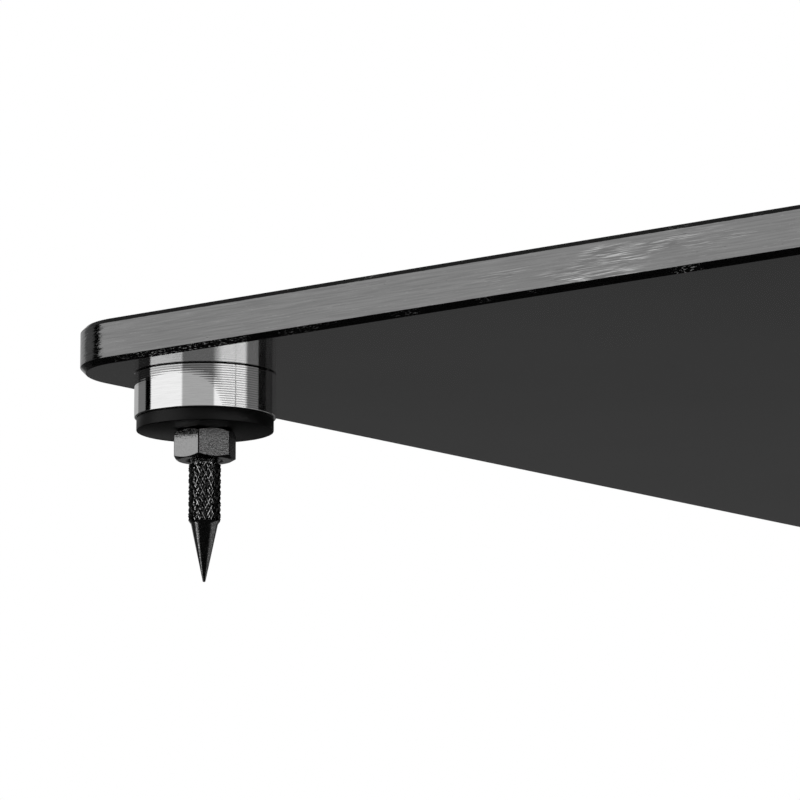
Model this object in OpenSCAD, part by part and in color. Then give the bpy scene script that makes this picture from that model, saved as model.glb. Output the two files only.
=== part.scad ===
// Adjustable speaker stand: a black glass base on four screw-in spikes, a round column
// with a cable channel at the back and four tie rods inside, and a steel top plate with
// rubber pads.
// Millimetres. The origin is on the floor under the middle of the base. +Z is up and
// -Y is the front.

/* [Overall] */
// Height from the spike tips to the upper faces of the pads
stand_h = 600; // [400:5:1200]

/* [Glass base] */
// Width of the glass, left to right
base_w = 250; // [200:5:500]
// Depth of the glass, front to back
base_d = 300; // [200:5:500]
// Thickness of the glass
glass_t = 8; // [6:0.5:15]
// Radius of the glass corners
base_corner_r = 15; // [5:1:40]
// Bevel round the upper edge of the glass
base_top_bevel = 0.9; // [0.5:0.1:2]
// Bevel round the lower edge of the glass
base_low_bevel = 1; // [0.5:0.1:2]

/* [Feet] */
// Distance from each foot's axis to the two nearest edges of the glass
foot_inset = 20; // [16:1:60]
// Diameter of the turned boss bonded under the glass
boss_d = 25; // [18:0.5:30]
// Height of the boss
boss_h = 7.8; // [6:0.1:15]
// Bevel round the lower edge of the boss
boss_low_bevel = 0.4; // [0.2:0.1:1]
// Bevel round the upper edge of the boss, at the glass
boss_top_bevel = 0.2; // [0.1:0.1:1]
// Diameter of the washer under the boss
washer_d = 24.2; // [14:0.1:30]
// Thickness of the washer
washer_t = 2.3; // [1:0.1:4]

/* [Thread and nut] */
// Nominal diameter of the foot's thread
thread_d = 6; // [5:0.5:7]
// Lock nut, across the flats
nut_af = 10; // [10:0.5:13]
// Height of the lock nut
nut_h = 5.2; // [4:0.1:8]

/* [Spike] */
// Diameter of the relief groove above the grip
neck_d = 4.9; // [4:0.1:5.5]
// Height of the relief groove
neck_h = 0.6; // [0.3:0.1:2]
// Diameter over the knurled grip
grip_d = 5.8; // [5.2:0.1:12]
// Height of the knurled grip
grip_h = 10.2; // [5:0.1:20]
// Height of the bevel from the grip to the cone
grip_bevel_h = 0.5; // [0.2:0.1:1]
// Diameter of the cone where it meets the bevel
cone_d = 4.75; // [3:0.05:5]
// Height of the cone
cone_h = 10.2; // [5:0.1:20]
// Diameter of the blunted point
tip_d = 0.5; // [0.3:0.1:1.5]

/* [Column] */
// Outer diameter of the column
column_d = 64; // [58:1:76]
// Wall thickness of the column
column_wall = 2.5; // [2:0.1:3.5]
// Diameter of each tie rod inside the column
rod_d = 10; // [9:0.5:11]
// Gap between a tie rod and the column's wall
rod_gap = 3.5; // [2:0.5:5]
// Width of the cable slot down the back
slot_w = 14; // [13:0.5:16]
// Height of the slot left open by the cover at each end, filled by a grommet
outlet_h = 26; // [18:1:60]

/* [Cable cover and grommets] */
// Thickness of the cable cover
cover_t = 1.6; // [1.2:0.1:2]
// Thickness of the cover's two spring legs
leg_t = 1.2; // [0.8:0.1:2]
// How far each leg's hook reaches behind the wall
hook_reach = 0.6; // [0.3:0.1:1]
// Height of the hook along the leg
hook_h = 2; // [1:0.1:3]
// Diameter of the cable hole in a grommet
cable_hole_d = 8; // [5:0.5:9]
// Width of the raised rim round the cable hole
rim_w = 2; // [1:0.1:2]
// How far the rim stands out of the column
rim_h = 1.2; // [0.5:0.1:3]
// Thickness of the grommet's lip behind the wall
lip_t = 1.5; // [1:0.1:2]
// How far that lip reaches past the slot on each side
lip_w = 0.9; // [0.5:0.1:1]

/* [Flanges and clamp] */
// Thickness of each column flange
flange_t = 6; // [5:0.5:12]
// How far a flange reaches past the column
flange_lip = 10; // [6:0.5:14]
// Depth of the seat that the column stands in
seat_depth = 2; // [1:0.5:3]
// Bevel round a flange's free edge
flange_bevel = 1.5; // [0.5:0.1:2.5]
// Thickness of the gasket between the glass and the lower flange
base_gasket_t = 1.5; // [0.5:0.1:4]
// Thickness of the steel clamp plate under the glass
clamp_t = 4; // [3.5:0.5:8]
// Bevel round the clamp plate's lower edge
clamp_bevel = 0.6; // [0.2:0.1:1.5]
// Thickness of the gasket between the clamp plate and the glass
clamp_gasket_t = 1; // [0.5:0.1:3]
// How far the gaskets stay inside the flange's edge
gasket_inset = 2; // [0.5:0.5:4]

/* [Top plate] */
// Width of the top plate
top_w = 160; // [140:5:300]
// Depth of the top plate
top_d = 200; // [160:5:350]
// Thickness of the top plate
top_t = 5; // [4:0.5:10]
// Radius of the top plate's corners
top_corner_r = 12; // [4:1:25]
// Bevel round the top plate's edges
top_bevel = 0.6; // [0.3:0.1:1.5]
// Speaker fixing holes, spacing left to right
fixing_x = 100; // [80:5:110]
// Speaker fixing holes, spacing front to back
fixing_y = 120; // [90:5:130]
// Diameter of a speaker fixing hole
fixing_d = 6.5; // [4:0.5:8]
// Diameter of a rubber pad
pad_d = 22; // [12:1:24]
// Thickness of a rubber pad
pad_t = 2.5; // [1:0.5:6]
// Distance from a pad's axis to the two nearest edges of the top plate
pad_inset = 18; // [14:1:22]

/* [Screws] */
// Nominal diameter of the column screws
screw_d = 6; // [5:0.5:6.5]
// Diameter of a countersunk head
head_d = 12; // [10:0.5:12]
// How far a screw reaches into its tie rod
screw_grip = 14; // [8:1:30]
// Across the flats of the key socket
socket_af = 4; // [3:0.5:4]
// Depth of the key socket
socket_depth = 2.2; // [1:0.1:2.5]
// Diameter of the sleeved holes in the glass
glass_hole_d = 10; // [9:0.5:11]

/* [Hidden] */
$fn = 96;

CORNERS = ["front_left", "front_right", "rear_left", "rear_right"];
CORNER_SIGNS = [[-1, -1], [1, -1], [-1, 1], [1, 1]];

// Colours
glass_colour = [0.07, 0.07, 0.08];
polished_colour = [0.80, 0.80, 0.82];
washer_colour = [0.12, 0.12, 0.12];
nut_colour = [0.33, 0.33, 0.34];
spike_colour = [0.10, 0.10, 0.10];
rubber_colour = [0.16, 0.16, 0.16];
powder_colour = [0.13, 0.13, 0.14];
column_colour = [0.20, 0.20, 0.21];
screw_colour = [0.28, 0.28, 0.30];
rod_colour = [0.62, 0.62, 0.64];
nylon_colour = [0.75, 0.75, 0.72];

// Overrun of every cut past the face that it opens
overrun = 1;
// Gap between the thread's crest and the bore that stands for the mating thread
thread_gap = 0.05;
// Bevel at both mouths of a threaded bore, and at the shank's end
thread_bevel = 0.4;
// Hole in the washer is this much wider than the thread
washer_play = 0.4;
// Free depth between the shank's end and the glass
shank_end_gap = 0.5;
// Bevel at the upper end of the grip
grip_top_bevel = 0.2;
// Each tie rod stops this short of both flanges, so its screws pull the column tight
rod_end_gap = 0.2;
// The tapped hole in a rod runs this much deeper than its screw
tap_extra = 3;
// Play between a screw and the bore that stands for its mating thread, between a screw
// and a clearance hole, and between a countersunk head and its seat
tap_play = 0.1;
screw_play = 0.2;
head_play = 0.1;
// Play of a sleeve in the glass
sleeve_play = 0.05;
// Play of the column in a flange's seat
seat_play = 0.1;
// Play of the cover and the grommets in the slot, and behind the wall
slot_play = 0.1;
behind_play = 0.2;
// Gap left above and below each grommet
grommet_end_gap = 0.2;
// Bevel round the pads and the grommets' rims
pad_bevel = 0.6;
rim_bevel = 0.4;

// A nut's bevelled face has this share of its width across the flats
nut_face_share = 0.95;
nut_bevel_angle = 30;

// Foot, from the floor up
tip_r = tip_d / 2;
cone_r = cone_d / 2;
grip_r = grip_d / 2;
neck_r = neck_d / 2;
bore_r = thread_d / 2;
shank_r = bore_r - thread_gap;
grip_z = cone_h + grip_bevel_h;
neck_z = grip_z + grip_h;
nut_z = neck_z + neck_h;
washer_z = nut_z + nut_h;
boss_z = washer_z + washer_t;
glass_z = boss_z + boss_h;
shank_top_z = glass_z - shank_end_gap;

// Stack above and below the glass
clamp_gasket_z = glass_z - clamp_gasket_t;
clamp_z = clamp_gasket_z - clamp_t;
base_gasket_z = glass_z + glass_t;
lower_flange_z = base_gasket_z + base_gasket_t;
flange_floor_t = flange_t - seat_depth;
tube_z = lower_flange_z + flange_floor_t;
top_plate_z = stand_h - pad_t - top_t;
pad_z = top_plate_z + top_t;
upper_flange_z = top_plate_z - flange_t;
tube_h = top_plate_z - flange_floor_t - tube_z;

// Column section
column_r = column_d / 2;
column_inner_r = column_r - column_wall;
rod_circle_r = column_inner_r - rod_gap - rod_d / 2;
flange_r = column_r + flange_lip;
gasket_r = flange_r - gasket_inset;
slot_fill_w = slot_w - 2 * slot_play;

// Screws
screw_r = screw_d / 2;
screw_hole_r = screw_r + screw_play;
tap_r = screw_r + tap_play;
head_r = head_d / 2;
base_screw_l = clamp_t + clamp_gasket_t + glass_t + base_gasket_t + flange_floor_t + screw_grip;
top_screw_l = top_t + flange_floor_t + screw_grip;

// Places
module at_foot(i) {
    sign = CORNER_SIGNS[i];
    translate([sign[0] * (base_w / 2 - foot_inset), sign[1] * (base_d / 2 - foot_inset), 0])
        children();
}

module at_pad(i) {
    sign = CORNER_SIGNS[i];
    translate([sign[0] * (top_w / 2 - pad_inset), sign[1] * (top_d / 2 - pad_inset), 0])
        children();
}

module at_rods() {
    for (turn = [45:90:315])
        rotate(turn)
            translate([rod_circle_r, 0, 0])
                children();
}

// A disc or bush turned from its half section
module turned(outline) {
    rotate_extrude()
        polygon(outline);
}

// A hole along Z from z = 0 to z = h, with an overrun at both ends
module through_hole(r, h) {
    translate([0, 0, -overrun])
        cylinder(r = r, h = h + 2 * overrun);
}

// Half section of a disc with a bevelled lower and upper edge
function disc_outline(r, t, low, top) = [
    [0, 0], [r - low, 0], [r, low], [r, t - top], [r - top, t], [0, t]
];

// Full section of a plate with bevelled edges
function plate_outline(half, t, low, top) = [
    [-half + low, 0], [half - low, 0], [half, low], [half, t - top],
    [half - top, t], [-half + top, t], [-half, t - top], [-half, low]
];

// Rounded plate with all its edges bevelled: four turned corners and two crossed beams
module bevelled_plate(w, d, t, r, low, top) {
    union() {
        for (sign = CORNER_SIGNS)
            translate([sign[0] * (w / 2 - r), sign[1] * (d / 2 - r), 0])
                turned(disc_outline(r, t, low, top));
        translate([-(w / 2 - r), 0, 0])
            rotate([90, 0, 90])
                linear_extrude(w - 2 * r)
                    polygon(plate_outline(d / 2, t, low, top));
        translate([0, d / 2 - r, 0])
            rotate([90, 0, 0])
                linear_extrude(d - 2 * r)
                    polygon(plate_outline(w / 2, t, low, top));
    }
}

// Countersunk hole that opens upwards at z = 0 and runs down past depth h
module countersink_cut(h) {
    seat_r = head_r + head_play;
    translate([0, 0, -h - overrun])
        cylinder(r = screw_hole_r, h = h + 2 * overrun);
    translate([0, 0, screw_hole_r - seat_r])
        cylinder(r1 = screw_hole_r, r2 = seat_r, h = seat_r - screw_hole_r);
    cylinder(r = seat_r, h = overrun);
}

// Countersunk screw with its head's face at z = 0 and its shank down to z = -l
module countersunk_screw(l) {
    difference() {
        union() {
            translate([0, 0, -l])
                cylinder(r = screw_r, h = l);
            translate([0, 0, screw_r - head_r])
                cylinder(r1 = screw_r, r2 = head_r, h = head_r - screw_r);
        }
        translate([0, 0, -socket_depth])
            cylinder(r = socket_af / 2 / cos(30), h = socket_depth + overrun, $fn = 6);
    }
}

// Glass base
module base_glass() {
    color(glass_colour)
        translate([0, 0, glass_z])
            difference() {
                bevelled_plate(base_w, base_d, glass_t, base_corner_r, base_low_bevel, base_top_bevel);
                at_rods()
                    through_hole(glass_hole_d / 2, glass_t);
            }
}

// Threaded bore from z = 0 to z = h with bevelled mouths
module threaded_bore(h) {
    through_hole(bore_r, h);
    cylinder(r1 = bore_r + thread_bevel, r2 = bore_r, h = thread_bevel);
    translate([0, 0, h - thread_bevel])
        cylinder(r1 = bore_r, r2 = bore_r + thread_bevel, h = thread_bevel);
}

// Feet
module foot_boss(i) {
    color(polished_colour)
        at_foot(i)
            translate([0, 0, boss_z])
                difference() {
                    turned(disc_outline(boss_d / 2, boss_h, boss_low_bevel, boss_top_bevel));
                    threaded_bore(boss_h);
                }
}

module foot_washer(i) {
    color(washer_colour)
        at_foot(i)
            translate([0, 0, washer_z])
                difference() {
                    cylinder(d = washer_d, h = washer_t);
                    through_hole(bore_r + washer_play, washer_t);
                }
}

module lock_nut(i) {
    corner_r = nut_af / 2 / cos(30);
    face_r = nut_face_share * nut_af / 2;
    bevel_h = (corner_r - face_r) * tan(nut_bevel_angle);
    color(nut_colour)
        at_foot(i)
            translate([0, 0, nut_z])
                difference() {
                    intersection() {
                        cylinder(r = corner_r, h = nut_h, $fn = 6);
                        turned([
                            [0, 0], [face_r, 0], [corner_r, bevel_h],
                            [corner_r, nut_h - bevel_h], [face_r, nut_h], [0, nut_h]
                        ]);
                    }
                    threaded_bore(nut_h);
                }
}

module spike(i) {
    color(spike_colour)
        at_foot(i)
            turned([
                [0, 0], [tip_r, 0], [cone_r, cone_h], [grip_r, grip_z],
                [grip_r, neck_z - grip_top_bevel], [grip_r - grip_top_bevel, neck_z],
                [neck_r, neck_z], [neck_r, nut_z], [shank_r, nut_z],
                [shank_r, shank_top_z - thread_bevel],
                [shank_r - thread_bevel, shank_top_z], [0, shank_top_z]
            ]);
}

// Clamp under the glass
module clamp_plate() {
    color(powder_colour)
        translate([0, 0, clamp_z])
            difference() {
                turned(disc_outline(flange_r, clamp_t, clamp_bevel, 0));
                at_rods()
                    mirror([0, 0, 1])
                        countersink_cut(clamp_t);
            }
}

module gasket(z, t) {
    color(rubber_colour)
        translate([0, 0, z])
            difference() {
                cylinder(r = gasket_r, h = t);
                at_rods()
                    through_hole(screw_hole_r, t);
            }
}

module clamp_gasket() {
    gasket(clamp_gasket_z, clamp_gasket_t);
}

module base_gasket() {
    gasket(base_gasket_z, base_gasket_t);
}

module hole_sleeves() {
    color(nylon_colour)
        translate([0, 0, glass_z])
            at_rods()
                difference() {
                    cylinder(r = glass_hole_d / 2 - sleeve_play, h = glass_t);
                    through_hole(screw_hole_r, glass_t);
                }
}

module base_screws() {
    color(screw_colour)
        translate([0, 0, clamp_z])
            at_rods()
                mirror([0, 0, 1])
                    countersunk_screw(base_screw_l);
}

// Column and its flanges
module flange() {
    difference() {
        turned(disc_outline(flange_r, flange_t, 0, flange_bevel));
        translate([0, 0, flange_floor_t])
            cylinder(r = column_r + seat_play, h = seat_depth + overrun);
        at_rods()
            through_hole(screw_hole_r, flange_t);
    }
}

module lower_flange() {
    color(powder_colour)
        translate([0, 0, lower_flange_z])
            flange();
}

module upper_flange() {
    color(powder_colour)
        translate([0, 0, upper_flange_z + flange_t])
            mirror([0, 0, 1])
                flange();
}

module column_tube() {
    color(column_colour)
        translate([0, 0, tube_z])
            difference() {
                cylinder(r = column_r, h = tube_h);
                through_hole(column_inner_r, tube_h);
                translate([-slot_w / 2, column_inner_r / 2, -overrun])
                    cube([slot_w, column_r, tube_h + 2 * overrun]);
            }
}

// Rods between the flanges, tapped at both ends for the base screws and the top screws
module tie_rods() {
    rod_h = tube_h - 2 * rod_end_gap;
    tap_h = screw_grip + tap_extra - rod_end_gap;
    color(rod_colour)
        translate([0, 0, tube_z + rod_end_gap])
            at_rods()
                difference() {
                    cylinder(d = rod_d, h = rod_h);
                    translate([0, 0, -overrun])
                        cylinder(r = tap_r, h = tap_h + overrun);
                    translate([0, 0, rod_h - tap_h])
                        cylinder(r = tap_r, h = tap_h + overrun);
                }
}

// Strip that fills the slot: a ring sector of width w between the radii r_in and r_out
module ring_strip(w, r_in, r_out, h) {
    intersection() {
        difference() {
            cylinder(r = r_out, h = h);
            through_hole(r_in, h);
        }
        translate([-w / 2, 0, -overrun])
            cube([w, r_out + overrun, h + 2 * overrun]);
    }
}

// One spring leg with its hook, on the +X side of the slot
module cover_leg(h) {
    outer_x = slot_fill_w / 2;
    inner_x = outer_x - leg_t;
    root_y = sqrt(pow(column_r - cover_t / 2, 2) - pow(outer_x, 2));
    catch_y = sqrt(pow(column_inner_r, 2) - pow(outer_x + hook_reach, 2)) - behind_play;
    linear_extrude(h)
        polygon([
            [inner_x, root_y], [outer_x, root_y], [outer_x, catch_y],
            [outer_x + hook_reach, catch_y], [outer_x, catch_y - hook_h],
            [inner_x, catch_y - hook_h]
        ]);
}

module cable_cover() {
    cover_z = tube_z + seat_depth + outlet_h;
    cover_h = tube_h - 2 * (seat_depth + outlet_h);
    color(powder_colour)
        translate([0, 0, cover_z])
            union() {
                ring_strip(slot_fill_w, column_r - cover_t, column_r, cover_h);
                cover_leg(cover_h);
                mirror([1, 0, 0])
                    cover_leg(cover_h);
            }
}

// Rubber plug for one end of the slot, from z = 0 up, with a hole for the cable
module grommet() {
    h = outlet_h - 2 * grommet_end_gap;
    back_r = column_inner_r - behind_play - lip_t;
    rim_r = cable_hole_d / 2 + rim_w;
    rim_l = column_r + rim_h - column_inner_r;
    difference() {
        union() {
            ring_strip(slot_fill_w, back_r, column_r, h);
            ring_strip(slot_fill_w + 2 * lip_w, back_r, back_r + lip_t, h);
            translate([0, column_inner_r, h / 2])
                rotate([-90, 0, 0])
                    turned(disc_outline(rim_r, rim_l, 0, rim_bevel));
        }
        translate([0, column_inner_r / 2, h / 2])
            rotate([-90, 0, 0])
                cylinder(d = cable_hole_d, h = column_r);
    }
}

module lower_grommet() {
    color(rubber_colour)
        translate([0, 0, tube_z + seat_depth + grommet_end_gap])
            grommet();
}

module upper_grommet() {
    color(rubber_colour)
        translate([0, 0, tube_z + tube_h - seat_depth - outlet_h + grommet_end_gap])
            grommet();
}

// Top plate
module top_plate() {
    color(powder_colour)
        translate([0, 0, top_plate_z])
            difference() {
                bevelled_plate(top_w, top_d, top_t, top_corner_r, top_bevel, top_bevel);
                translate([0, 0, top_t])
                    at_rods()
                        countersink_cut(top_t);
                for (sign = CORNER_SIGNS)
                    translate([sign[0] * fixing_x / 2, sign[1] * fixing_y / 2, 0])
                        through_hole(fixing_d / 2, top_t);
            }
}

module top_screws() {
    color(screw_colour)
        translate([0, 0, pad_z])
            at_rods()
                countersunk_screw(top_screw_l);
}

module top_pad(i) {
    color(rubber_colour)
        at_pad(i)
            translate([0, 0, pad_z])
                turned(disc_outline(pad_d / 2, pad_t, 0, pad_bevel));
}

base_glass();
for (i = [0:3]) {
    foot_boss(i);
    foot_washer(i);
    lock_nut(i);
    spike(i);
    top_pad(i);
}
clamp_plate();
clamp_gasket();
hole_sleeves();
base_gasket();
base_screws();
lower_flange();
column_tube();
tie_rods();
cable_cover();
lower_grommet();
upper_grommet();
upper_flange();
top_plate();
top_screws();
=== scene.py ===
"""Speaker stand: the looks of the stand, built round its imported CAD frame.

The frame's nodes give every place and outer size. The glass, the four spike feet and
the rubber pads are modelled again here with their fine detail, and the other nodes
keep their shape and get their material. Sizes are in millimetres unless a name ends
in _m, and MM turns them to Blender's metres.
"""

import logging
import math
from collections.abc import Callable
from dataclasses import dataclass
from enum import Enum
from functools import cache, partial
from itertools import pairwise

import bmesh
import bpy
from bpy.types import Material, MeshPolygon, Node, NodeSocket, NodeTree, Object, World
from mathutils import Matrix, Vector


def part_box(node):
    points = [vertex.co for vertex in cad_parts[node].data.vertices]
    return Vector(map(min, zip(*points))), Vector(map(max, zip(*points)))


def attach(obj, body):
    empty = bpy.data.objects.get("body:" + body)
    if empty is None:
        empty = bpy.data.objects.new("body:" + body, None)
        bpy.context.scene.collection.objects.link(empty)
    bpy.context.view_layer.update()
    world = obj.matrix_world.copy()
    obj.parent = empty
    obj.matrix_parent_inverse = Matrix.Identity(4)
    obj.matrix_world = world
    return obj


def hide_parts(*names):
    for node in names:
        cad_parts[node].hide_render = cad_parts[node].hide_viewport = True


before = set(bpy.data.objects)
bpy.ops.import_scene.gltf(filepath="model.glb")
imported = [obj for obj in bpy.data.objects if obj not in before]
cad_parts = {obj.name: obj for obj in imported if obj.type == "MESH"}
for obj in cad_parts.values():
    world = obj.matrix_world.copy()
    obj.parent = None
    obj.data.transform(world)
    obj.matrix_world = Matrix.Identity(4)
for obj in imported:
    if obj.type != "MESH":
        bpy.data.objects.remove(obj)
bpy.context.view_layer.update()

MM = 0.001
MERGE_M = 2e-6

# Nearly all of a noise lies between these levels, so shades and gloss run over them.
GRAIN_RANGE = (0.3, 0.7)
# A soft rim has one point between its ends, this share of its width from the corner.
SOFT_SHARE = 0.3
NUT_SIDES = 6

Point = tuple[float, float]
Place = tuple[float, float, float]
Colour = tuple[float, float, float, float]

log = logging.getLogger("speaker_stand")


class Corner(Enum):
    """A corner of the stand, as the CAD nodes name it."""

    FRONT_LEFT = "front_left"
    FRONT_RIGHT = "front_right"
    REAR_LEFT = "rear_left"
    REAR_RIGHT = "rear_right"


class Cut(Enum):
    """What a boolean modifier does with its tool."""

    REMOVE = "DIFFERENCE"
    KEEP_COMMON = "INTERSECT"


def linear(code: str) -> Colour:
    """Turn an sRGB hex colour into Blender's linear colour.

    Args:
        code: Six hex digits.

    Returns:
        Linear red, green, blue and an alpha of 1.
    """
    levels = [int(code[i : i + 2], 16) / 255 for i in (0, 2, 4)]
    red, green, blue = (
        v / 12.92 if v <= 0.04045 else ((v + 0.055) / 1.055) ** 2.4 for v in levels
    )
    return red, green, blue, 1.0


def grey(level: float) -> Colour:
    """Return a linear grey of the given level."""
    return level, level, level, 1.0


def add_node(
    tree: NodeTree,
    kind: str,
    inputs: dict[str | int, object] | None = None,
    stops: list[tuple[float, Colour]] | None = None,
    **settings: object,
) -> Node:
    """Add a shader node with its settings, its socket values and its links.

    Args:
        tree: The node tree to add to.
        kind: The node's type, without ShaderNode before it.
        inputs: A value, or an output socket to link from, for each named input.
        stops: Places and colours of a colour ramp.
        settings: Values of the node's own properties.

    Returns:
        The new node.
    """
    node = tree.nodes.new(f"ShaderNode{kind}")
    for name, value in settings.items():
        setattr(node, name, value)
    for key, value in (inputs or {}).items():
        if isinstance(value, NodeSocket):
            tree.links.new(value, node.inputs[key])
        else:
            node.inputs[key].default_value = value
    if stops:
        ramp = node.color_ramp
        while len(ramp.elements) < len(stops):
            ramp.elements.new(1.0)
        for element, (place, colour) in zip(ramp.elements, stops, strict=True):
            element.position = place
            element.color = colour
    return node


def empty_tree(owner: Material | World) -> NodeTree:
    """Turn on the owner's nodes and empty its node tree.

    Args:
        owner: A new material or world.

    Returns:
        The empty tree.
    """
    owner.use_nodes = True
    owner.node_tree.nodes.clear()
    return owner.node_tree


# Finishes


def shade_stops(levels: Point, shades: tuple[str, str]) -> list[tuple[float, Colour]]:
    """Pair two levels of a grain with their shades, which are sRGB hex."""
    return [(level, linear(code)) for level, code in zip(levels, shades, strict=True)]


@dataclass(frozen=True)
class Finish:
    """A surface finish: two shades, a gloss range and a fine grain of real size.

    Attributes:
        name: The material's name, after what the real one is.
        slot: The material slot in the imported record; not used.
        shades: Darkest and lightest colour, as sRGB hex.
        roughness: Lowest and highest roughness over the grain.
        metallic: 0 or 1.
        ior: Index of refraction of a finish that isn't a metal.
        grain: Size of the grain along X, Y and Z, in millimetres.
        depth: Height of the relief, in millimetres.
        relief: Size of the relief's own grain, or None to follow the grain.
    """

    name: str
    slot: str
    shades: tuple[str, str]
    roughness: Point
    metallic: float = 0.0
    ior: float = 1.5
    grain: Place = (0.5, 0.5, 0.5)
    depth: float = 0.01
    relief: Place | None = None

    def grain_field(
        self, tree: NodeTree, size: Place, detail: float = 3.0
    ) -> NodeSocket:
        """Add a noise with the given grain size.

        Args:
            tree: The material's node tree.
            size: Size of the grain along X, Y and Z, in millimetres.
            detail: How many finer layers the noise has.

        Returns:
            The noise's output, from 0 to 1.
        """
        add = partial(add_node, tree)
        where = add("TexCoord").outputs["Object"]
        scale = [1 / (MM * s) for s in size]
        scaled = add("Mapping", {"Vector": where, "Scale": scale})
        noise = {"Vector": scaled.outputs["Vector"], "Scale": 1.0, "Detail": detail}
        return add("TexNoise", noise).outputs["Fac"]

    def colour_field(self, tree: NodeTree, grain: NodeSocket) -> NodeSocket:
        """Spread the two shades over the grain.

        Args:
            tree: The material's node tree.
            grain: The grain, from 0 to 1.

        Returns:
            The colour output.
        """
        stops = shade_stops(GRAIN_RANGE, self.shades)
        ramp = add_node(tree, "ValToRGB", {"Fac": grain}, stops)
        return ramp.outputs["Color"]

    def build(self) -> Material:
        """Make the material.

        Returns:
            The material, with all its nodes.
        """
        material = bpy.data.materials.new(self.name)
        tree = empty_tree(material)
        add = partial(add_node, tree)
        grain = self.grain_field(tree, self.grain)
        lowest, highest = GRAIN_RANGE
        smoothest, roughest = self.roughness
        levels = {
            "Value": grain, "From Min": lowest, "From Max": highest,
            "To Min": smoothest, "To Max": roughest,
        }
        gloss = add("MapRange", levels)
        height = self.grain_field(tree, self.relief) if self.relief else grain
        bump = add("Bump", {"Height": height, "Distance": self.depth * MM})
        surface = {
            "Base Color": self.colour_field(tree, grain),
            "Roughness": gloss.outputs["Result"],
            "Normal": bump.outputs["Normal"],
            "Metallic": self.metallic,
            "IOR": self.ior,
        }
        shader = add("BsdfPrincipled", surface)
        add("OutputMaterial", {"Surface": shader.outputs["BSDF"]})
        return material


@dataclass(frozen=True)
class MarkedFinish(Finish):
    """A finish with stronger marks in patches, such as scratches, specks or wear.

    Attributes:
        mark_shades: First and second colour of the marks, as sRGB hex.
        mark_grain: Size of a mark along X, Y and Z, in millimetres.
        mark_range: Levels of the mark's grain at its first and second colour.
        patch: Size of the patches that hold marks, in millimetres.
        patch_range: Levels of the patch grain at no marks and at full marks.
        spot: Middle of the place with the most marks, in millimetres.
        spot_axes: How much each axis counts in the distance from the spot.
        spot_reach: How far from there its effect goes, in millimetres.
        spot_gain: How much it adds to the patch grain.
    """

    mark_shades: tuple[str, str] = ("6a6a6a", "c4c4c4")
    mark_grain: Place = (5.0, 5.0, 0.4)
    mark_range: Point = (0.45, 0.6)
    patch: Place = (22.0, 22.0, 9.0)
    patch_range: Point = (0.58, 0.68)
    spot: Place = (0.0, 0.0, 0.0)
    spot_axes: Place = (1.0, 1.0, 1.0)
    spot_reach: float = 30.0
    spot_gain: float = 0.0

    def colour_field(self, tree: NodeTree, grain: NodeSocket) -> NodeSocket:
        """Spread the shades over the grain, and the marks over their patches.

        Args:
            tree: The material's node tree.
            grain: The grain, from 0 to 1.

        Returns:
            The colour output.
        """
        plain = super().colour_field(tree, grain)
        mark = self.grain_field(tree, self.mark_grain)
        stops = shade_stops(self.mark_range, self.mark_shades)
        marks = add_node(tree, "ValToRGB", {"Fac": mark}, stops)
        layers = {
            "Factor": self.patch_mask(tree), "A": plain, "B": marks.outputs["Color"]
        }
        mixed = add_node(tree, "Mix", layers, data_type="RGBA")
        return mixed.outputs["Result"]

    def patch_mask(self, tree: NodeTree) -> NodeSocket:
        """Say where marks are: in patches, and more of them round the spot.

        Args:
            tree: The material's node tree.

        Returns:
            The mask's output, from 0 to 1.
        """
        add = partial(add_node, tree)
        where = add("TexCoord").outputs["Object"]
        weighed = add("VectorMath", {0: where, 1: self.spot_axes}, operation="MULTIPLY")
        axes = zip(self.spot, self.spot_axes, strict=True)
        middle = [MM * place * weight for place, weight in axes]
        ends = {0: weighed.outputs["Vector"], 1: middle}
        away = add("VectorMath", ends, operation="DISTANCE")
        gain = {
            "Value": away.outputs["Value"], "From Min": self.spot_reach * MM,
            "From Max": 0.0, "To Max": self.spot_gain,
        }
        near = add("MapRange", gain)
        patches = self.grain_field(tree, self.patch, detail=1.0)
        held = add("Math", {0: patches, 1: near.outputs["Result"]}, operation="ADD")
        none, full = self.patch_range
        share = {"Value": held.outputs["Value"], "From Min": none, "From Max": full}
        return add("MapRange", share).outputs["Result"]


# Black soda-lime glass, drawn and polished: a deep black mirror, brighter at a flat
# angle.
POLISHED_GLASS = Finish(
    "polished_black_glass", "black_glass", ("040405", "060607"), (0.015, 0.03),
    ior=1.52, grain=(60.0, 60.0, 60.0), depth=0.0005,
)
# The lower face is lacquered behind the glass: a black mirror too, a little blurred.
LACQUERED_GLASS = Finish(
    "lacquered_glass_back", "black_glass", ("050505", "080808"), (0.09, 0.12),
    ior=1.52, grain=(60.0, 60.0, 60.0), depth=0.0005,
)
# The edge is ground with a wheel that runs along it, then polished: grey, with streaks.
# It mirrors far more than the faces do, so it is given a metal's reflectance. The marks
# of the grit are too fine to show, and the streaks are drawn as wide as the photograph
# has them.
GROUND_EDGE = MarkedFinish(
    "ground_glass_edge", "black_glass", ("767676", "868686"), (0.06, 0.12),
    metallic=1.0, grain=(9.0, 9.0, 0.24), depth=0.12, relief=(3.2, 3.2, 0.5),
    mark_shades=("707070", "dedede"), mark_grain=(4.5, 4.5, 0.12),
    mark_range=(0.5, 0.72), patch=(12.0, 12.0, 2.0), patch_range=(0.8, 1.1),
    spot=(0.0, -150.0, 39.0), spot_reach=38.0, spot_gain=0.48,
)
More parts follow.
